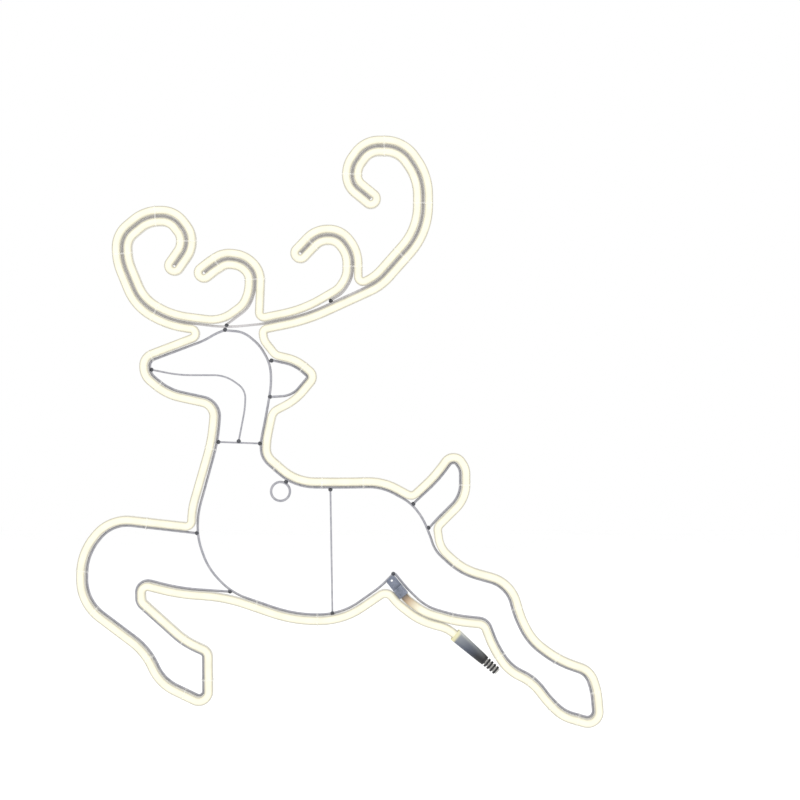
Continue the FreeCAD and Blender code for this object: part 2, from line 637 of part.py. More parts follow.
def tie_body(name, left, right, hold_left, hold_right):
    """A closed cable tie about a pair of sides, its head and trimmed end behind."""
    body = body_named(name)
    loop = sketch_in(body, name + "_loop", "XY_Plane")
    outline(loop, [(right, "band_back"), (left, "band_back"), (left, "band_front"), (right, "band_front")])
    outline(loop, [(hold_right, "hold_back"), (hold_left, "hold_back"), (hold_left, "hold_front"),
                   (hold_right, "hold_front")])
    band = added(body, "PartDesign::Pad", name + "_band", loop, Length="dim.tie_width", Midplane=True)
    corners = ["Edge%d" % number for number, edge in enumerate(band.Shape.Edges, start=1)
               if abs(edge.tangentAt(edge.FirstParameter).z) > 0.99]
    rounding = body.newObject("PartDesign::Fillet", name + "_rounding")
    rounding.Base = (band, corners)
    rounding.setExpression("Radius", "dim.tie_round")
    for part, across, along in (("head", "tie_head", "tie_head"), ("tail", "tie_thickness", "tie_width")):
        block = body.newObject("PartDesign::AdditiveBox", name + "_" + part)
        depth = "dim.tie_head_depth" if part == "head" else "(dim.tie_head_depth + dim.tie_tail)"
        bound(block, Length="dim." + across, Width=depth, Height="dim." + along)
        bound(block, **{"Placement.Base.x": "-dim.%s / 2" % across, "Placement.Base.z": "-dim.%s / 2" % along,
                        "Placement.Base.y": "dim.hold_back - dim.tie_thickness / 2 - " + depth})
    doc.recompute()
    return body


single_tie = tie_body("single_tie", "band_left", "-band_right", "hold_left", "-hold_right")
double_tie = tie_body("double_tie", "band_pair", "-band_pair", "hold_pair", "-hold_pair")

TIES = (("ties_head", single_tie, flex, [(-156.6, 167.3), (-150.0, 120.0), (-86.0, 52.0),
                                         (29.4, 151.7)]),
        ("ties_foreleg", single_tie, flex, [(-220.2, -139.9), (-154.2, -197.5), (-91.8, -225.1),
                                            (-119.4, -183.1), (-165.0, -143.5), (-114.6, -239.5),
                                            (-238.0, -95.0), (-160.0, -36.0)]),
        ("ties_body", single_tie, flex, [(-10.2, 23.3), (50.0, 12.0), (100.0, 12.0), (45.0, -154.0),
                                         (-30.0, -138.5), (222.0, 8.0)]),
        ("ties_hind_leg", single_tie, flex, [(209.4, -86.0), (282.6, -140.0), (330.6, -200.0),
                                             (378.0, -240.0), (355.8, -273.0), (325.0, -259.0),
                                             (300.0, -226.0), (262.0, -197.0), (205.0, -154.0)]),
        ("ties_left_antler", double_tie, left_antler, [(-190.0, 285.0), (-150.0, 331.0), (-115.0, 300.0),
                                                       (-150.0, 214.0)]),
        ("ties_left_tine", double_tie, left_tine, [(-76.0, 273.5), (-32.0, 254.0)]),
        ("ties_right_antler", double_tie, right_antler, [(145.0, 284.0), (171.0, 345.0), (125.0, 414.0),
                                                         (86.5, 380.0)]),
        ("ties_right_tine", double_tie, right_tine, [(36.0, 298.0), (84.0, 270.0)]))
for name, tie, route, targets in TIES:
    copies(name, tie, [nearest(route, target) for target in targets])

# ---------------------------------------------------------------- end cap

cap = body_named("end_cap", frame_at(CAP_MOUTH, CAP_HEADING))
tab_sketch = box_outline(sketch_in(cap, "tab_outline", "XY_Plane"), "cap_side", "tab_back", "tab_front")
tab = added(cap, "PartDesign::Pad", "tab", tab_sketch, Length="dim.cap_length")
tab_corners = ["Edge%d" % number for number, edge in enumerate(tab.Shape.Edges, start=1)
               if abs(edge.tangentAt(edge.FirstParameter).y) > 0.99
               and edge.CenterOfMass.z > cell("cap_body")]
tab_rounding = cap.newObject("PartDesign::Fillet", "tab_rounding")
tab_rounding.Base = (tab, tab_corners)
bound(tab_rounding, Radius="dim.tab_round")
sleeve_sketch = box_outline(sketch_in(cap, "sleeve_outline", "XY_Plane"), "cap_side", "cap_back", "cap_front")
added(cap, "PartDesign::Pad", "sleeve", sleeve_sketch, Length="dim.cap_body")
grip_sketch = box_outline(sketch_in(cap, "cap_socket_outline", "XY_Plane"), "grip_side", "grip_back",
                          "grip_front")
added(cap, "PartDesign::Pocket", "socket", grip_sketch, Length="dim.cap_socket", Reversed=True)
eyelet_sketch = sketch_in(cap, "eyelet_outline", "XZ_Plane")
eyelet_sketch.addGeometry(Part.Circle(FreeCAD.Vector(0, cell("eyelet_along"), 0), FreeCAD.Vector(0, 0, 1),
                                      cell("cap_eyelet_radius")), False)
eyelet_sketch.addConstraint(Sketcher.Constraint("PointOnObject", 0, 3, -2))
for kind, word in (("Radius", "cap_eyelet_radius"), ("DistanceY", "eyelet_along")):
    ends = (0, 3) if kind == "DistanceY" else (0,)
    held = eyelet_sketch.addConstraint(Sketcher.Constraint(kind, *ends, cell(word)))
    eyelet_sketch.setExpression("Constraints[%d]" % held, "dim." + word)
added(cap, "PartDesign::Pocket", "eyelet", eyelet_sketch, Type="ThroughAll", Midplane=True)
node(cap, "end_cap")

# ---------------------------------------------------------------- boot, its strain relief and its contacts

boot_place = frame_at(BOOT_MOUTH, BOOT_HEADING)
boot = body_named("boot", boot_place)
mouth = cut_outline(sketch_in(boot, "mouth_outline", "XY_Plane"), "mouth")
far_end = cut_outline(sketch_in(boot, "far_end_outline", "XY_Plane", "boot_length"), "end")
added(boot, "PartDesign::AdditiveLoft", "taper", mouth, Sections=[far_end], Ruled=True)
boot_grip = box_outline(sketch_in(boot, "boot_socket_outline", "XY_Plane"), "grip_side", "grip_back",
                        "grip_front")
added(boot, "PartDesign::Pocket", "boot_socket", boot_grip, Length="dim.boot_socket", Reversed=True)
hollow_start = box_outline(sketch_in(boot, "hollow_start", "XY_Plane", "boot_socket"), "grip_side",
                           "grip_back", "grip_front")
hollow_end = box_outline(sketch_in(boot, "hollow_end", "XY_Plane", "boot_length"), "lead_radius",
                         "hollow_back", "hollow_front")
added(boot, "PartDesign::SubtractiveLoft", "hollow", hollow_start, Sections=[hollow_end], Ruled=True)
node(boot, "boot")

relief = body_named("strain_relief", boot_place)
RIBS = 5
cylinders = [("core", "PartDesign::AdditiveCylinder", "dim.relief_core_radius", "dim.relief_length",
              "dim.boot_length")]
for rib in range(RIBS):
    cylinders.append(("rib_%d" % rib, "PartDesign::AdditiveCylinder",
                      "dim.relief_rib_radius - (dim.relief_rib_radius - dim.relief_tip_radius) * %d / %d"
                      % (rib, RIBS - 1), "dim.relief_rib_length",
                      "dim.boot_length + dim.relief_pitch * %d" % rib))
cylinders.append(("bore", "PartDesign::SubtractiveCylinder", "dim.lead_radius", "dim.relief_length",
                  "dim.boot_length"))
for name, kind, radius, length, along in cylinders:
    part = bound(relief.newObject(kind, name), Radius=radius, Height=length)
    bound(part, **{"Placement.Base.y": "dim.flex_middle", "Placement.Base.z": along})
node(relief, "strain_relief")

carrier = body_named("contact_carrier", boot_place)
block = bound(carrier.newObject("PartDesign::AdditiveBox", "block"), Length="dim.carrier_width",
              Width="dim.carrier_depth", Height="dim.carrier_length")
bound(block, **{"Placement.Base.x": "-dim.carrier_width / 2", "Placement.Base.z": "dim.carrier_along",
                "Placement.Base.y": "dim.flex_middle - dim.carrier_depth / 2"})
pins = []
for side in (-1, 1):
    across = "%d * dim.pin_spacing / 2" % side
    hole = bound(carrier.newObject("PartDesign::SubtractiveCylinder", "pin_hole_%d" % (side + 1)),
                 Radius="dim.pin_radius + dim.slip", Height="dim.carrier_length")
    bound(hole, **{"Placement.Base.x": across, "Placement.Base.y": "dim.flex_middle",
                   "Placement.Base.z": "dim.carrier_along"})
    pin = bound(doc.addObject("Part::Cylinder", "pin_%d" % (side + 1)), Radius="dim.pin_radius",
                Height="dim.pin_length")
    pin.Placement = boot_place.multiply(FreeCAD.Placement(
        FreeCAD.Vector(side * cell("pin_spacing") / 2, cell("flex_middle"), cell("carrier_along")),
        FreeCAD.Rotation()))
    pins.append(pin)
node(carrier, "contact_carrier")
group("contact_pins", pins)
doc.recompute()

# ---------------------------------------------------------------- weld beads

bead = bound(doc.addObject("Part::Sphere", "bead"), Radius="dim.bead_radius")
doc.recompute()
WELDS = (("welds_head", [(-66.5, 193.9), (-64.6, 199.2), (60.4, 228.6), (-154.9, 146.0), (-50.1, 60.2),
                         (-10.8, 157.0), (-12.6, 113.6)]),
         ("welds_body", [(-74.6, 59.3), (-24.6, 57.5), (-100.2, -50.0), (-60.5, -120.0), (135.4, -98.9),
                         (59.9, 2.3), (62.3, -146.2), (159.4, -15.0), (177.6, -43.6), (0.0, 0.0)]))
solids = [solid for item in wires + [flex_jacket, flex_diffuser] for solid in item.Shape.Solids]
for name, centres in WELDS:
    beads = []
    for centre in centres:
        if centre == (0.0, 0.0):
            spot = nearest(spine_wire, centre).Base
            centre = moved(centre, heading(centre, (spot.x, spot.z)), cell("ring_radius") + 1.8)
        ball = bead.Shape.translated(raised(centre))
        near = [solid for solid in solids if solid.BoundBox.intersect(ball.BoundBox)]
        beads.extend(ball.cut(near).Solids)
    welds = doc.addObject("Part::Feature", name)
    welds.Shape = Part.Compound(beads)
    node(welds, name)

# ---------------------------------------------------------------- checks and files

doc.recompute()
for item in doc.Objects:
    if "Invalid" in item.State or "Error" in item.State:
        raise RuntimeError("%s did not compute" % item.Name)
for item in nodes:
    if item.Shape.isNull() or not item.Shape.isValid() or not item.Shape.Solids:
        raise RuntimeError("%s has no valid solid" % item.Label)

os.makedirs("parts", exist_ok=True)
for item in nodes:
    item.Shape.exportStep("parts/%s.step" % item.Label)
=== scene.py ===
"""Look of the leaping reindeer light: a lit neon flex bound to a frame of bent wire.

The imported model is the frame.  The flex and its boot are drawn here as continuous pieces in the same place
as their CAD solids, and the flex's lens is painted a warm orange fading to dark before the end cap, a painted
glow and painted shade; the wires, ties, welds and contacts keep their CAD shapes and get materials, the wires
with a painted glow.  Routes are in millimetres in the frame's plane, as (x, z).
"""
import json
import math

import bmesh
import bpy
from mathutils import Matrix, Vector


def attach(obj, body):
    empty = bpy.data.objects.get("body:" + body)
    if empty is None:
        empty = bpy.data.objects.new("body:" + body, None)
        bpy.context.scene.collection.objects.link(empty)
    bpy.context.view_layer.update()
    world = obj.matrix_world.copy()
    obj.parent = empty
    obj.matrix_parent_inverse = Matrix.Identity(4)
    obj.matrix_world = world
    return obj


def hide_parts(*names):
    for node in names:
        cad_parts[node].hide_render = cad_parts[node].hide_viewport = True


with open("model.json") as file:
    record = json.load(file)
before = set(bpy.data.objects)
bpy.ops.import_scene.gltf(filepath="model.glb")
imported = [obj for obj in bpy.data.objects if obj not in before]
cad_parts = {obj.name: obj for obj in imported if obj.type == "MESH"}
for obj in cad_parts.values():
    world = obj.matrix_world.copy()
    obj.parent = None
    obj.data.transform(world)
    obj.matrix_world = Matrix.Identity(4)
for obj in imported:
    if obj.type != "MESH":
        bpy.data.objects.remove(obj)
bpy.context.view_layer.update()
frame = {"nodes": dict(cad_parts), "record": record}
nodes = frame["nodes"]

MM = 0.001
FLEX_SIDE = 5.2         # half of the flex across its lit face
BESIDE = 6.9            # middle of the flex to the wire beside it
BACK = -1.5             # depths run from the wires' plane towards the lit face
LIP = 9.5               # top of the jacket's walls
CROWN = 12.5            # top of the lens
MIDDLE = 5.5            # middle of the flex
INSIDE = 4.1            # half of the room between the jacket's walls
BED = 1.1               # underside of the lens
CHANNEL_FLOOR = 1.4     # thickness of the jacket behind the lens
EDGE_ROUND = 1.1        # rear edges of the jacket
EASE = 0.47             # share of the shorter run that a free bend takes up
CAP_SOCKET = 10.95      # how far the flex goes into the end cap
BOOT_SOCKET = 10.0      # how far the flex goes into the boot
BOOT_LENGTH = 46.0
BOOT_SIDE = 7.9         # half of the boot's mouth in the frame's plane
BOOT_DEPTH = 9.0        # half of the boot's mouth, front to back
BOOT_END = 6.2          # half of the boot's far end, both ways

# ---------------------------------------------------------------- routes

# Antler spines, base to tip: the wire that lies between two runs of flex.
LEFT_ANTLER = [(-66.5, 196.5), (-131.5, 205.0), (-168.5, 226.0), (-189.5, 277.5), (-189.5, 305.5),
               (-160.0, 330.0), (-129.0, 330.0), (-112.5, 308.5), (-112.5, 291.0), (-126.5, 271.0)]
LEFT_TINE = [(-64.0, 200.7), (-38.5, 219.5), (-31.0, 238.0), (-30.0, 262.0), (-45.0, 277.0),
             (-66.5, 279.5), (-81.0, 270.5), (-91.0, 262.5)]
RIGHT_ANTLER = [(-66.5, 196.5), (-22.0, 201.0, 120), (29.5, 211.5), (117.0, 251.5, 60), (171.0, 312.5),
                (171.0, 376.5), (144.5, 414.0), (104.0, 414.0), (86.0, 389.5), (86.0, 369.0),
                (108.0, 351.0)]
RIGHT_TINE = [(60.0, 229.2), (75.0, 238.0), (86.5, 256.5), (86.5, 286.0), (70.0, 307.5),
              (45.0, 307.5), (24.5, 286.0)]

# Middle of the flex round the head, body and legs, in the order that it runs from the boot to the cap.
BOOT_RUN = [(201.3, -164.3), (167.0, -155.0), (139.5, -133.5), (128.0, -118.5, 10)]
BELLY = [(75.0, -154.5), (16.0, -154.5), (-65.5, -126.5), (-120.5, -123.0), (-166.5, -111.5, 7.5),
         (-166.0, -132.0, 9)]
FORELEG = [(-113.5, -179.0), (-86.0, -191.5, 11), (-85.5, -258.5, 12), (-144.5, -230.0),
           (-162.0, -192.0), (-239.0, -134.0), (-239.0, -73.5), (-204.0, -31.5), (-106.5, -42.5, 7)]
NECK = [(-105.5, -20.0), (-82.0, 61.5), (-78.5, 103.5, 17), (-136.0, 116.0), (-163.5, 138.8),
        (-163.5, 161.2), (-104.5, 183.9)]
EAR = [(-21.0, 192.0), (-19.5, 181.0), (-5.5, 163.5, 12), (20.0, 157.5), (42.5, 138.5, 9.5),
       (18.5, 109.5), (-9.0, 95.5, 14)]
BACK_LINE = [(-16.2, 61.5), (-16.5, 43.0), (19.0, 12.0), (77.5, 11.5), (123.0, 12.5)]
TAIL = [(158.0, -6.5, 9), (184.0, 17.5), (201.5, 41.0), (213.5, 41.0), (222.5, 28.0), (222.5, -8.0),
        (188.0, -42.5, 10)]
RUMP = [(191.5, -67.5), (219.5, -93.0), (264.0, -105.5), (280.0, -121.5), (288.5, -152.0),
        (303.0, -178.5), (334.0, -201.5)]
HIND_HOOF = [(371.5, -214.5), (380.0, -238.5), (383.5, -282.5, 14), (338.0, -269.5), (320.0, -252.5)]
SHANK = [(302.0, -228.5), (273.0, -214.5), (255.0, -188.0), (244.0, -159.0, 10), (209.5, -155.5),
         (172.0, -144.5)]

CAP_MOUTH = (148.1, -124.5)
CAP_HEADING = (-0.63, 0.777)        # from the cap's mouth to its closed end
CAP_APPROACH = 6.0                  # straight flex before the cap's mouth
CAP_BEND = 45                       # bend of the flex before that
LEFT_TINE_BEND = 42                 # where the flex comes to the left tine
RIGHT_TINE_BEND = 150               # where it comes to the right one
CHIP_PITCH = 0.025                  # metres from one diode to the next
BOOT_MOUTH = (209.0, -171.0)
BOOT_HEADING = (0.753, -0.658)      # from the boot's mouth to its strain relief
FOLD_BEND = 5.8                     # tightest bend of the flex, at the roots of the antlers
TIP_BEND = 0.98                     # share of the way between two antler runs that the turn at a tip fills
TIP_ROOM = 0.5                      # from the end of an antler's wire to the middle of that turn


def heading(start, end):
    """Unit vector from start to end."""
    run = math.dist(start[:2], end[:2])
    return ((end[0] - start[0]) / run, (end[1] - start[1]) / run)


def moved(point, direction, distance):
    """The point a distance away in a direction."""
    return (point[0] + direction[0] * distance, point[1] + direction[1] * distance)


def left_of(direction):
    """The direction a quarter turn to the left."""
    return (-direction[1], direction[0])


def crossing(start, end, other_start, other_end):
    """Where two lines, each through two points, cross."""
    along = heading(start, end)
    other = heading(other_start, other_end)
    gap = (other_start[0] - start[0], other_start[1] - start[1])
    reach = (gap[0] * other[1] - gap[1] * other[0]) / (along[0] * other[1] - along[1] * other[0])
    return moved(start, along, reach)


def turn_at(before, corner, after):
    """Signed turn of a route at a corner, positive to the left."""
    arriving = heading(before, corner)
    leaving = heading(corner, after)
    cross = arriving[0] * leaving[1] - arriving[1] * leaving[0]
    dot = arriving[0] * leaving[0] + arriving[1] * leaving[1]
    return math.atan2(cross, dot)


def bent(route):
    """The same route with a bend radius at every corner, none at its two ends."""
    corners = [(route[0][0], route[0][1], 0.0)]
    for before, corner, after in zip(route, route[1:], route[2:]):
        if len(corner) == 3:
            corners.append(tuple(corner))
            continue
        shorter = min(math.dist(before[:2], corner[:2]), math.dist(corner[:2], after[:2]))
        half_turn = abs(turn_at(before, corner, after)) / 2
        corners.append((corner[0], corner[1], EASE * shorter / math.tan(half_turn)))
    corners.append((route[-1][0], route[-1][1], 0.0))
    return corners


def beside(route, distance):
    """A bent route that runs beside another, a distance to its left, or to its right if negative."""
    last = len(route) - 1
    shifted = []
    for place, corner in enumerate(route):
        before = route[max(place - 1, 0)]
        after = route[min(place + 1, last)]
        if place in (0, last):
            away = left_of(heading(before, after))
            shifted.append((*moved(corner, away, distance), 0.0))
            continue
        turn = turn_at(before, corner, after)
        arriving = heading(before, corner)
        aside = moved(corner, left_of(arriving), distance)
        aside = moved(aside, arriving, -distance * math.tan(turn / 2))
        shifted.append((*aside, corner[2] - math.copysign(distance, distance * turn)))
    return shifted


def met(first, second, radius):
    """Two routes as one: their last and first runs are taken to where they cross."""
    corner = crossing(first[-2], first[-1], second[0], second[1])
    return first[:-1] + [(*corner, radius)] + second[1:]


def round_tip(spine, outward, homeward):
    """Flex out along one side of an antler's wire, round its tip and back along the other side."""
    ahead = heading(spine[-2], spine[-1])
    reach = TIP_ROOM + BESIDE
    corners = [(*moved(run[-1], ahead, reach), TIP_BEND * BESIDE) for run in (outward, homeward)]
    return outward[:-1] + corners + homeward[-2::-1]


# ---------------------------------------------------------------- the flex's route

boot_seat = moved(BOOT_MOUTH, BOOT_HEADING, BOOT_SOCKET)
cap_seat = moved(CAP_MOUTH, CAP_HEADING, CAP_SOCKET)
cap_bend = (*moved(CAP_MOUTH, CAP_HEADING, -CAP_APPROACH), CAP_BEND)
left_antler = bent(LEFT_ANTLER)
left_tine = bent(LEFT_TINE)
right_antler = bent(RIGHT_ANTLER)
right_tine = bent(RIGHT_TINE)
front = bent([boot_seat] + BOOT_RUN + BELLY + FORELEG + NECK)
rear = bent(EAR + BACK_LINE + TAIL + RUMP + HIND_HOOF + SHANK + [cap_bend, cap_seat])

flex = met(front, round_tip(left_antler, beside(left_antler, BESIDE), beside(left_antler, -BESIDE)),
           FOLD_BEND)
flex = met(flex, round_tip(left_tine, beside(left_tine, BESIDE), beside(left_tine[2:], -BESIDE)),
           LEFT_TINE_BEND)
flex = met(flex, beside(right_antler[1:3], BESIDE), FOLD_BEND)
flex = met(flex, round_tip(right_tine, beside(right_tine, BESIDE), beside(right_tine[2:], -BESIDE)),
           RIGHT_TINE_BEND)
flex = met(flex, round_tip(right_antler, beside(right_antler[2:], BESIDE),
                           beside(right_antler[1:], -BESIDE)), FOLD_BEND)
flex = met(flex, rear, FOLD_BEND)

FINEST_TURN = math.radians(5)
LONGEST_STEP = 9.0


def spun(direction, angle):
    """A direction turned to the left by an angle."""
    across = left_of(direction)
    return (direction[0] * math.cos(angle) + across[0] * math.sin(angle),
            direction[1] * math.cos(angle) + across[1] * math.sin(angle))


def stations(route):
    """Points along the route with their headings and distances: (point, heading, distance)."""
    spots = []
    travelled = 0.0
    here = route[0][:2]
    for before, corner, after in zip(route, route[1:], route[2:]):
        turn = turn_at(before, corner, after)
        along = heading(before, corner)
        start = moved(corner, along, -corner[2] * math.tan(abs(turn) / 2))
        gap = math.dist(here, start)
        steps = max(1, math.ceil(gap / LONGEST_STEP))
        for step in range(steps if gap > 0.02 else 0):
            spots.append((moved(here, along, gap * step / steps), along, travelled + gap * step / steps))
        travelled += gap
        length = abs(turn) * corner[2]
        steps = max(2, math.ceil(abs(turn) / FINEST_TURN), math.ceil(length / LONGEST_STEP))
        for step in range(steps):
            swung = turn * step / steps
            chord = 0.0 if step == 0 else 2 * length / turn * math.sin(swung / 2)
            spots.append((moved(start, spun(along, swung / 2), chord), spun(along, swung),
                          travelled + length * step / steps))
        travelled += length
        here = moved(corner, heading(corner, after), corner[2] * math.tan(abs(turn) / 2))
    last = route[-1][:2]
    along = heading(here, last)
    gap = math.dist(here, last)
    steps = max(1, math.ceil(gap / LONGEST_STEP))
    for step in range(steps + 1):
        spots.append((moved(here, along, gap * step / steps), along, travelled + gap * step / steps))
    return spots


def placed(point, direction, across, depth):
    """A section's point in space: across to the left of the route, depth towards the lit face."""
    side = left_of(direction)
    return Vector(((point[0] + side[0] * across) * MM, -depth * MM, (point[1] + side[1] * across) * MM))


def mesh_object(name, build, sharp=40):
    """A new smooth-shaded mesh object filled by a function that is given a bmesh."""
    mesh = bpy.data.meshes.new(name)
    made = bmesh.new()
    build(made)
    bmesh.ops.recalc_face_normals(made, faces=made.faces)
    made.to_mesh(mesh)
    made.free()
    for face in mesh.polygons:
        face.use_smooth = True
    mesh.set_sharp_from_angle(angle=math.radians(sharp))
    item = bpy.data.objects.new(name, mesh)
    bpy.context.scene.collection.objects.link(item)
    return item


def swept(name, section, route):
    """A closed section swept along the whole route; UV is metres along by share across."""
    spots = stations(route)

    def build(made):
        count = len(section)
        layer = made.loops.layers.uv.new("along_across")
        rings = [[made.verts.new(placed(point, direction, across, depth)) for across, depth in section]
                 for point, direction, travelled in spots]
        for place in range(len(spots) - 1):
            low, high = rings[place], rings[place + 1]
            ends = (spots[place][2] * MM, spots[place + 1][2] * MM)
            for part in range(count):
                following = (part + 1) % count
                face = made.faces.new((low[part], low[following], high[following], high[part]))
                shares = (part / count, (part + 1) / count, (part + 1) / count, part / count)
                for loop, share, end in zip(face.loops, shares, (ends[0], ends[0], ends[1], ends[1])):
                    loop[layer].uv = (end, share)
        made.faces.new(rings[0][::-1])
        made.faces.new(rings[-1])

    return mesh_object(name, build)


def rounded(corner, radius, start, turn, steps):
    """Points of a quarter round about a corner's own centre."""
    return [(corner[0] + radius * math.cos(start + turn * step / steps),
             corner[1] + radius * math.sin(start + turn * step / steps)) for step in range(steps + 1)]


QUARTER = math.pi / 2
lip_round = (FLEX_SIDE - INSIDE) / 2
edge_centre = (FLEX_SIDE - EDGE_ROUND, BACK + EDGE_ROUND)
jacket_section = (rounded(edge_centre, EDGE_ROUND, -QUARTER, QUARTER, 4)
                  + rounded((FLEX_SIDE - lip_round, LIP - lip_round), lip_round, 0, 2 * QUARTER, 6)
                  + [(INSIDE, BACK + CHANNEL_FLOOR), (-INSIDE, BACK + CHANNEL_FLOOR)]
                  + rounded((lip_round - FLEX_SIDE, LIP - lip_round), lip_round, 0, 2 * QUARTER, 6)
                  + rounded((-edge_centre[0], edge_centre[1]), EDGE_ROUND, 2 * QUARTER, QUARTER, 4))
lens_side = INSIDE - 0.05
lens_rise = CROWN - LIP
lens_radius = (lens_side ** 2 + lens_rise ** 2) / (2 * lens_rise)
lens_half = math.asin(lens_side / lens_radius)
CROWN_STEPS = 12
lens_section = [(-lens_side, BED), (lens_side, BED)]
for step in range(CROWN_STEPS + 1):
    angle = lens_half * (1 - 2 * step / CROWN_STEPS)
    lens_section.append((lens_radius * math.sin(angle), CROWN - lens_radius * (1 - math.cos(angle))))

jacket = swept("neon_jacket", jacket_section, flex)
lens = swept("neon_lens", lens_section, flex)
for piece, node, slot in ((jacket, "flex_jacket", "jacket"), (lens, "flex_diffuser", "diffuser")):
    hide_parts(node)
    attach(piece, "root")

# ---------------------------------------------------------------- the boot

BOOT_RINGS = 26
BOOT_SPOKES = 48


def boot_ring(share, inset):
    """Outline of the boot a share of the way to its far end: squarish at the mouth, round at the end."""
    ease = share * share * (3 - 2 * share)
    half_side = BOOT_SIDE + (BOOT_END - BOOT_SIDE) * share - inset
    half_depth = BOOT_DEPTH + (BOOT_END - BOOT_DEPTH) * share - inset
    power = 2 / (5.0 + (2.0 - 5.0) * ease)
    outline = []
    for spoke in range(BOOT_SPOKES):
        angle = 2 * math.pi * spoke / BOOT_SPOKES
        across = math.copysign(abs(math.cos(angle)) ** power, math.cos(angle)) * half_side
        depth = math.copysign(abs(math.sin(angle)) ** power, math.sin(angle)) * half_depth
        outline.append((across, MIDDLE + depth))
    return outline


def build_boot(made):
    """Outer skin, rolled mouth, and the hollow as far as the socket's floor."""
    layer = made.loops.layers.uv.new("along_across")
    course = [(BOOT_SOCKET, 1.2), (4.0, 1.2), (1.2, 1.2), (0.35, 0.95), (0.0, 0.55), (0.15, 0.15), (0.6, 0.0)]
    course += [(0.6 + (BOOT_LENGTH - 1.6) * ring / BOOT_RINGS, 0.0) for ring in range(1, BOOT_RINGS + 1)]
    course += [(BOOT_LENGTH - 0.35, 0.25), (BOOT_LENGTH, 0.8), (BOOT_LENGTH, 2.4)]
    rings = []
    for along, inset in course:
        point = moved(BOOT_MOUTH, BOOT_HEADING, along)
        rings.append([made.verts.new(placed(point, BOOT_HEADING, across, depth))
                      for across, depth in boot_ring(along / BOOT_LENGTH, inset)])
    for place in range(len(rings) - 1):
        for spoke in range(BOOT_SPOKES):
            following = (spoke + 1) % BOOT_SPOKES
            face = made.faces.new((rings[place][spoke], rings[place][following],
                                   rings[place + 1][following], rings[place + 1][spoke]))
            for loop, step in zip(face.loops, (0, 0, 1, 1)):
                loop[layer].uv = (course[place + step][0] / BOOT_LENGTH, spoke / BOOT_SPOKES)
    made.faces.new(rings[0][::-1])
    made.faces.new(rings[-1])


boot_piece = mesh_object("supply_boot", build_boot, 50)
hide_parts("boot")
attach(boot_piece, "root")

# ---------------------------------------------------------------- materials


def shader(name):
    """A new node material: (material, nodes, links, its principled shader)."""
    material = bpy.data.materials.new(name)
    material.use_nodes = True
    tree = material.node_tree
    return material, tree.nodes, tree.links, tree.nodes["Principled BSDF"]


def noise_of(nodes_of, links, scale, detail=4.0, rough=0.55):
    """Noise in the object's own space, in features per metre."""
    place = nodes_of.new("ShaderNodeTexCoord")
    noise = nodes_of.new("ShaderNodeTexNoise")
    noise.inputs["Scale"].default_value = scale
    noise.inputs["Detail"].default_value = detail
    noise.inputs["Roughness"].default_value = rough
    links.new(place.outputs["Object"], noise.inputs["Vector"])
    return noise.outputs["Fac"]


def ramp_of(nodes_of, links, source, stops):
    """A colour ramp driven by a value; a stop is (place, colour)."""
    ramp = nodes_of.new("ShaderNodeValToRGB")
    ramp.color_ramp.elements[0].position = stops[0][0]
    ramp.color_ramp.elements[0].color = (*stops[0][1], 1)
    ramp.color_ramp.elements[1].position = stops[-1][0]
    ramp.color_ramp.elements[1].color = (*stops[-1][1], 1)
    for place, colour in stops[1:-1]:
        element = ramp.color_ramp.elements.new(place)
        element.color = (*colour, 1)
    links.new(source, ramp.inputs["Fac"])
    return ramp.outputs["Color"]


def span_of(nodes_of, links, source, low, high, to_low, to_high):
    """A value taken from one span to another."""
    span = nodes_of.new("ShaderNodeMapRange")
    for name, value in (("From Min", low), ("From Max", high), ("To Min", to_low), ("To Max", to_high)):
        span.inputs[name].default_value = value
    links.new(source, span.inputs["Value"])
    return span.outputs["Result"]


def bump_of(nodes_of, links, base, source, strength, distance):
    """Raise the surface by a value."""
    bump = nodes_of.new("ShaderNodeBump")
    bump.inputs["Strength"].default_value = strength
    bump.inputs["Distance"].default_value = distance
    links.new(source, bump.inputs["Height"])
    links.new(bump.outputs["Normal"], base.inputs["Normal"])


def sum_of(nodes_of, links, kind, operation, first, second=None):
    """The result of a Math or Vector Math node; the second input is a socket, a number or a vector."""
    node = nodes_of.new(kind)
    node.operation = operation
    links.new(first, node.inputs[0])
    if isinstance(second, bpy.types.NodeSocket):
        links.new(second, node.inputs[1])
    elif second is not None:
        node.inputs[1].default_value = second
    return node.outputs["Value" if operation in ("LENGTH", "DOT_PRODUCT") else 0]


def mix_of(nodes_of, links, factor, first, second):
    """One colour into another by a value; the second is a socket or a plain colour."""
    mix = nodes_of.new("ShaderNodeMix")
    mix.data_type = "RGBA"
    links.new(factor, mix.inputs["Factor"])
    links.new(first, mix.inputs["A"])
    if isinstance(second, bpy.types.NodeSocket):
        links.new(second, mix.inputs["B"])
    else:
        mix.inputs["B"].default_value = (*second, 1)
    return mix.outputs["Result"]


def along_uv(nodes_of, links):
    """How far a place is along its piece."""
    layer = nodes_of.new("ShaderNodeUVMap")
    layer.uv_map = "along_across"
    apart = nodes_of.new("ShaderNodeSeparateXYZ")
    links.new(layer.outputs["UV"], apart.inputs["Vector"])
    return apart.outputs["X"]


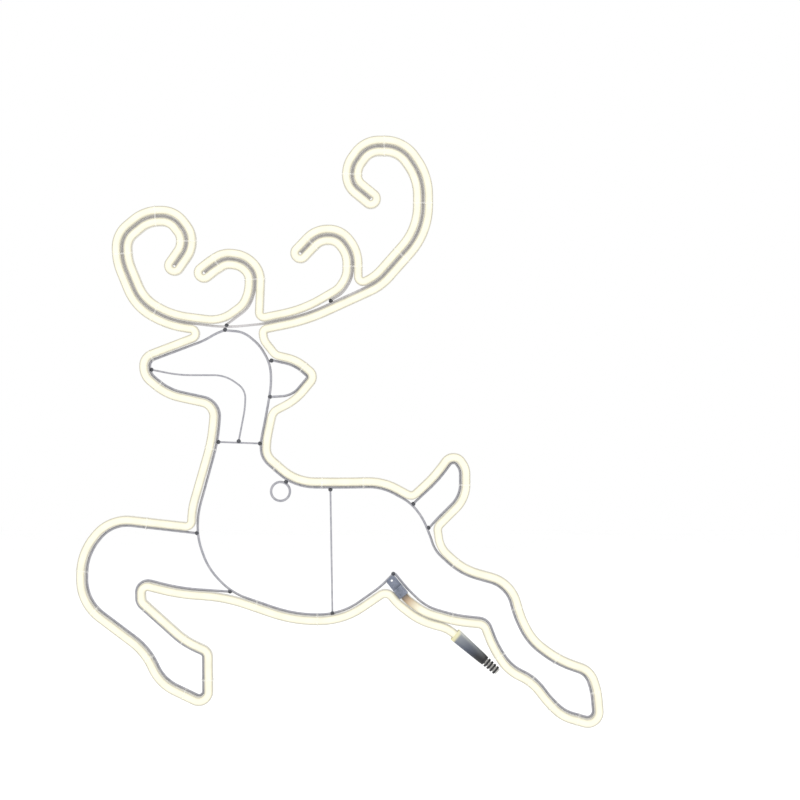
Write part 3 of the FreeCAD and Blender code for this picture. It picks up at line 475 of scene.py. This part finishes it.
def plain(name, stops, rough, metal=0.0, scale=300.0, bump=0.15, distance=0.0002, **settings):
    """Material with a mottled colour, uneven roughness and a fine surface."""
    material, nodes_of, links, base = shader(name)
    coarse = noise_of(nodes_of, links, scale)
    fine = noise_of(nodes_of, links, scale * 6, 6.0)
    links.new(ramp_of(nodes_of, links, coarse, stops), base.inputs["Base Color"])
    links.new(span_of(nodes_of, links, fine, 0.3, 0.7, rough[0], rough[1]), base.inputs["Roughness"])
    bump_of(nodes_of, links, base, fine, bump, distance)
    base.inputs["Metallic"].default_value = metal
    for key, value in settings.items():
        base.inputs[key.replace("_", " ")].default_value = value
    return material


# The wires carry a faint painted glow, a painted reflection of the white room around them.
wire = plain("galvanised_wire", [(0.3, (0.24, 0.245, 0.275)), (0.5, (0.31, 0.31, 0.34)),
                                 (0.72, (0.38, 0.375, 0.395))], (0.34, 0.55), 0.2, 220.0, 0.2,
             Emission_Color=(0.72, 0.72, 0.80, 1), Emission_Strength=0.07)
# The antlers' wires run between two lit flexes; their light is painted on these wires as a glow and a lighter
# colour than the other wires have.
wire_in_painted_glow = plain("galvanised_wire_painted_glow", [(0.3, (0.30, 0.295, 0.30)), (0.5, (0.37, 0.36, 0.37)),
                                             (0.72, (0.44, 0.43, 0.43))], (0.34, 0.55), 0.1, 220.0, 0.2,
                 Emission_Color=(0.86, 0.83, 0.82, 1), Emission_Strength=0.22)
weld = plain("weld_bead", [(0.3, (0.05, 0.055, 0.065)), (0.55, (0.09, 0.095, 0.11)),
                           (0.75, (0.17, 0.17, 0.19))], (0.35, 0.75), 0.4, 700.0, 0.6, 0.0005)
# The jacket's white silicone is painted a darker beige, a painted shade on its walls, and given a faint
# painted glow.
jacket_painted_shade_and_glow = plain("silicone_jacket_painted_shade_and_glow", [(0.3, (0.44, 0.43, 0.385)), (0.7, (0.52, 0.505, 0.455))],
                    (0.42, 0.58), 0.0, 120.0, 0.12, Emission_Color=(0.78, 0.74, 0.62, 1),
                    Emission_Strength=0.14)
tie_nylon = plain("clear_nylon", [(0.3, (0.90, 0.89, 0.83)), (0.7, (0.96, 0.95, 0.90))], (0.30, 0.45), 0.0,
                  500.0, 0.12, 0.0001, IOR=1.4, Alpha=0.16)
cap_skin = plain("translucent_cap", [(0.3, (0.13, 0.155, 0.21)), (0.7, (0.30, 0.33, 0.42))], (0.22, 0.4), 0.0,
                 180.0, 0.12, 0.0001, Transmission_Weight=0.35, IOR=1.5)
relief_rubber_and_slot_light = plain("ribbed_rubber_and_painted_slot_light", [(0.3, (0.008, 0.008, 0.010)), (0.7, (0.022, 0.022, 0.025))],
                    (0.45, 0.65), 0.0, 400.0, 0.25)

# Between its black ribs the strain relief is painted a light grey, painted light showing through its slots:
# the colour follows the distance from its axis.
relief_nodes, relief_links = relief_rubber_and_slot_light.node_tree.nodes, relief_rubber_and_slot_light.node_tree.links
relief_base = relief_nodes["Principled BSDF"]
relief_place = relief_nodes.new("ShaderNodeTexCoord")
from_mouth = sum_of(relief_nodes, relief_links, "ShaderNodeVectorMath", "SUBTRACT",
                    relief_place.outputs["Object"], (BOOT_MOUTH[0] * MM, -MIDDLE * MM, BOOT_MOUTH[1] * MM))
aside = sum_of(relief_nodes, relief_links, "ShaderNodeVectorMath", "CROSS_PRODUCT", from_mouth,
               (BOOT_HEADING[0], 0.0, BOOT_HEADING[1]))
reach = sum_of(relief_nodes, relief_links, "ShaderNodeVectorMath", "LENGTH", aside)
rubber = relief_base.inputs["Base Color"].links[0].from_socket
painted_slot_light = span_of(relief_nodes, relief_links, reach, 0.0039, 0.0043, 1.0, 0.0)
relief_links.new(mix_of(relief_nodes, relief_links, painted_slot_light, rubber, (0.58, 0.57, 0.54)),
                 relief_base.inputs["Base Color"])
circuit_skin = plain("circuit", [(0.3, (0.78, 0.77, 0.70)), (0.7, (0.86, 0.85, 0.78))], (0.4, 0.6))
led_skin = plain("led_phosphor", [(0.3, (0.85, 0.62, 0.12)), (0.7, (0.95, 0.74, 0.22))], (0.15, 0.3), 0.0,
                 900.0)
carrier_skin = plain("contact_block", [(0.3, (0.66, 0.66, 0.63)), (0.7, (0.76, 0.76, 0.73))], (0.4, 0.55),
                     0.0, 500.0)
pin_skin = plain("brass_pin", [(0.3, (0.70, 0.47, 0.16)), (0.7, (0.80, 0.58, 0.24))], (0.18, 0.32), 1.0,
                 900.0)

# The lens glows: brightest on its crown, a little yellower down its sides, with the faintest swell at every
# diode behind it, and dimmer in the last stretch before the cap, where its colour is painted a warm orange
# and then dark, a painted glow fading to painted shade.
glow, glow_nodes, glow_links, glow_base = shader("lit_lens")
along = along_uv(glow_nodes, glow_links)
surface = glow_nodes.new("ShaderNodeNewGeometry")
facing = glow_nodes.new("ShaderNodeSeparateXYZ")
glow_links.new(surface.outputs["Normal"], facing.inputs["Vector"])
face_on = span_of(glow_nodes, glow_links, facing.outputs["Y"], -1.0, -0.45, 1.0, 0.0)
turns = sum_of(glow_nodes, glow_links, "ShaderNodeMath", "MULTIPLY", along, 2 * math.pi / CHIP_PITCH)
swell = sum_of(glow_nodes, glow_links, "ShaderNodeMath", "SINE", turns)
cloud = noise_of(glow_nodes, glow_links, 60.0)
colour = ramp_of(glow_nodes, glow_links, face_on, [(0.0, (0.84, 0.76, 0.56)), (0.45, (0.96, 0.93, 0.77)),
                                                   (1.0, (1.0, 0.985, 0.85))])
glow_links.new(colour, glow_base.inputs["Emission Color"])
power = span_of(glow_nodes, glow_links, swell, -1.0, 1.0, 0.56, 0.60)
flex_end = stations(flex)[-1][2] * MM
to_cap = span_of(glow_nodes, glow_links, along, flex_end - 0.046, flex_end - 0.011, 0.0, 1.0)
dimming = span_of(glow_nodes, glow_links, to_cap, 0.25, 0.9, 1.0, 0.10)
glow_links.new(sum_of(glow_nodes, glow_links, "ShaderNodeMath", "MULTIPLY", power, dimming),
               glow_base.inputs["Emission Strength"])
silicone = ramp_of(glow_nodes, glow_links, cloud, [(0.3, (0.36, 0.355, 0.28)), (0.7, (0.40, 0.39, 0.31))])
painted_cap_fade = ramp_of(glow_nodes, glow_links, to_cap, [(0.0, (0.38, 0.37, 0.29)), (0.45, (0.46, 0.35, 0.18)),
                                                 (0.75, (0.36, 0.19, 0.07)), (1.0, (0.10, 0.08, 0.075))])
glow_links.new(mix_of(glow_nodes, glow_links, to_cap, silicone, painted_cap_fade), glow_base.inputs["Base Color"])
glow_links.new(span_of(glow_nodes, glow_links, cloud, 0.3, 0.7, 0.45, 0.6), glow_base.inputs["Roughness"])
bump_of(glow_nodes, glow_links, glow_base, noise_of(glow_nodes, glow_links, 900.0), 0.08, 0.0001)

# The boot is yellow at its mouth and darkens to its far end; its upper side is painted lighter, a painted
# highlight.
boot_skin, boot_nodes, boot_links, boot_base = shader("moulded_boot")
boot_along = along_uv(boot_nodes, boot_links)
tint = ramp_of(boot_nodes, boot_links, boot_along,
               [(0.0, (0.72, 0.68, 0.40)), (0.075, (0.66, 0.62, 0.38)), (0.13, (0.17, 0.19, 0.225)),
                (0.5, (0.055, 0.068, 0.10)), (0.8, (0.015, 0.016, 0.02)), (1.0, (0.005, 0.005, 0.006))])
painted_highlight = ramp_of(boot_nodes, boot_links, boot_along,
               [(0.0, (0.80, 0.77, 0.52)), (0.10, (0.52, 0.53, 0.50)), (0.55, (0.20, 0.215, 0.235)),
                (1.0, (0.035, 0.035, 0.035))])
boot_surface = boot_nodes.new("ShaderNodeNewGeometry")
lean = sum_of(boot_nodes, boot_links, "ShaderNodeVectorMath", "DOT_PRODUCT",
              boot_surface.outputs["Normal"], (-BOOT_HEADING[1], 0.0, BOOT_HEADING[0]))
painted_highlight_side = span_of(boot_nodes, boot_links, lean, -0.15, 0.75, 0.0, 1.0)
boot_links.new(mix_of(boot_nodes, boot_links, painted_highlight_side, tint, painted_highlight), boot_base.inputs["Base Color"])
grain = noise_of(boot_nodes, boot_links, 1400.0, 6.0)
boot_links.new(span_of(boot_nodes, boot_links, grain, 0.3, 0.7, 0.42, 0.62), boot_base.inputs["Roughness"])
bump_of(boot_nodes, boot_links, boot_base, grain, 0.2, 0.0002)

for piece, material in ((jacket, jacket_painted_shade_and_glow), (lens, glow), (boot_piece, boot_skin)):
    piece.data.materials.append(material)

SKINS = {"wire": wire, "weld": weld, "tie": tie_nylon, "end_cap": cap_skin, "relief": relief_rubber_and_slot_light,
         "circuit": circuit_skin, "led": led_skin, "carrier": carrier_skin, "pin": pin_skin}
SLOTS = {entry["node"]: entry["material_slot"] for entry in frame["record"]["subparts"]}
WIRES_IN_PAINTED_GLOW = ("antler_wire", "left_tine_wire", "right_tine_wire")
for name, item in nodes.items():
    skin = wire_in_painted_glow if name in WIRES_IN_PAINTED_GLOW else SKINS.get(SLOTS[name])
    if skin:
        for place in range(len(item.material_slots)):
            item.material_slots[place].link = "OBJECT"
            item.material_slots[place].material = skin

# ---------------------------------------------------------------- floor, light and camera

scene = bpy.context.scene
FLOOR_LEVEL = -0.36
floor_mesh = bpy.data.meshes.new("floor")
floor_mesh.from_pydata([(x, y, FLOOR_LEVEL) for x, y in ((-6, -6), (6, -6), (6, 6), (-6, 6))], [],
                       [(0, 1, 2, 3)])
floor = bpy.data.objects.new("floor", floor_mesh)
scene.collection.objects.link(floor)
paper, paper_nodes, paper_links, paper_base = shader("pale_floor")
paper_links.new(ramp_of(paper_nodes, paper_links, noise_of(paper_nodes, paper_links, 3.0),
                        [(0.3, (0.985, 0.985, 0.985)), (0.7, (0.998, 0.998, 0.998))]),
                paper_base.inputs["Base Color"])
paper_base.inputs["Roughness"].default_value = 0.9
floor_mesh.materials.append(paper)

world = bpy.data.worlds.new("studio")
world.use_nodes = True
world.node_tree.nodes["Background"].inputs["Color"].default_value = (1, 1, 1, 1)
world.node_tree.nodes["Background"].inputs["Strength"].default_value = 1.0
scene.world = world


def lamp(name, place, target, size, power):
    """A soft area light."""
    data = bpy.data.lights.new(name, "AREA")
    data.shape = "RECTANGLE"
    data.size = size
    data.size_y = size
    data.energy = power
    item = bpy.data.objects.new(name, data)
    item.location = place
    item.rotation_euler = (Vector(target) - Vector(place)).to_track_quat("-Z", "Y").to_euler()
    scene.collection.objects.link(item)


AIM = Vector((0.1434, 0.0, 0.1097))
lamp("key", (-1.6, -2.6, 2.4), AIM, 1.8, 26)
lamp("fill", (2.4, -1.8, 1.2), AIM, 2.0, 10)
lamp("rim", (0.6, 2.4, 2.2), AIM, 1.6, 14)

DISTANCE = 3.0
VIEW_WIDTH = 0.96
camera_data = bpy.data.cameras.new("camera")
camera_data.sensor_width = 36.0
camera_data.lens = 36.0 * DISTANCE / VIEW_WIDTH
camera = bpy.data.objects.new("camera", camera_data)
camera.location = AIM - Vector((0.0, DISTANCE, 0.0))
camera.rotation_euler = (math.pi / 2, 0.0, 0.0)
scene.collection.objects.link(camera)
scene.camera = camera
scene.view_settings.view_transform = "Standard"
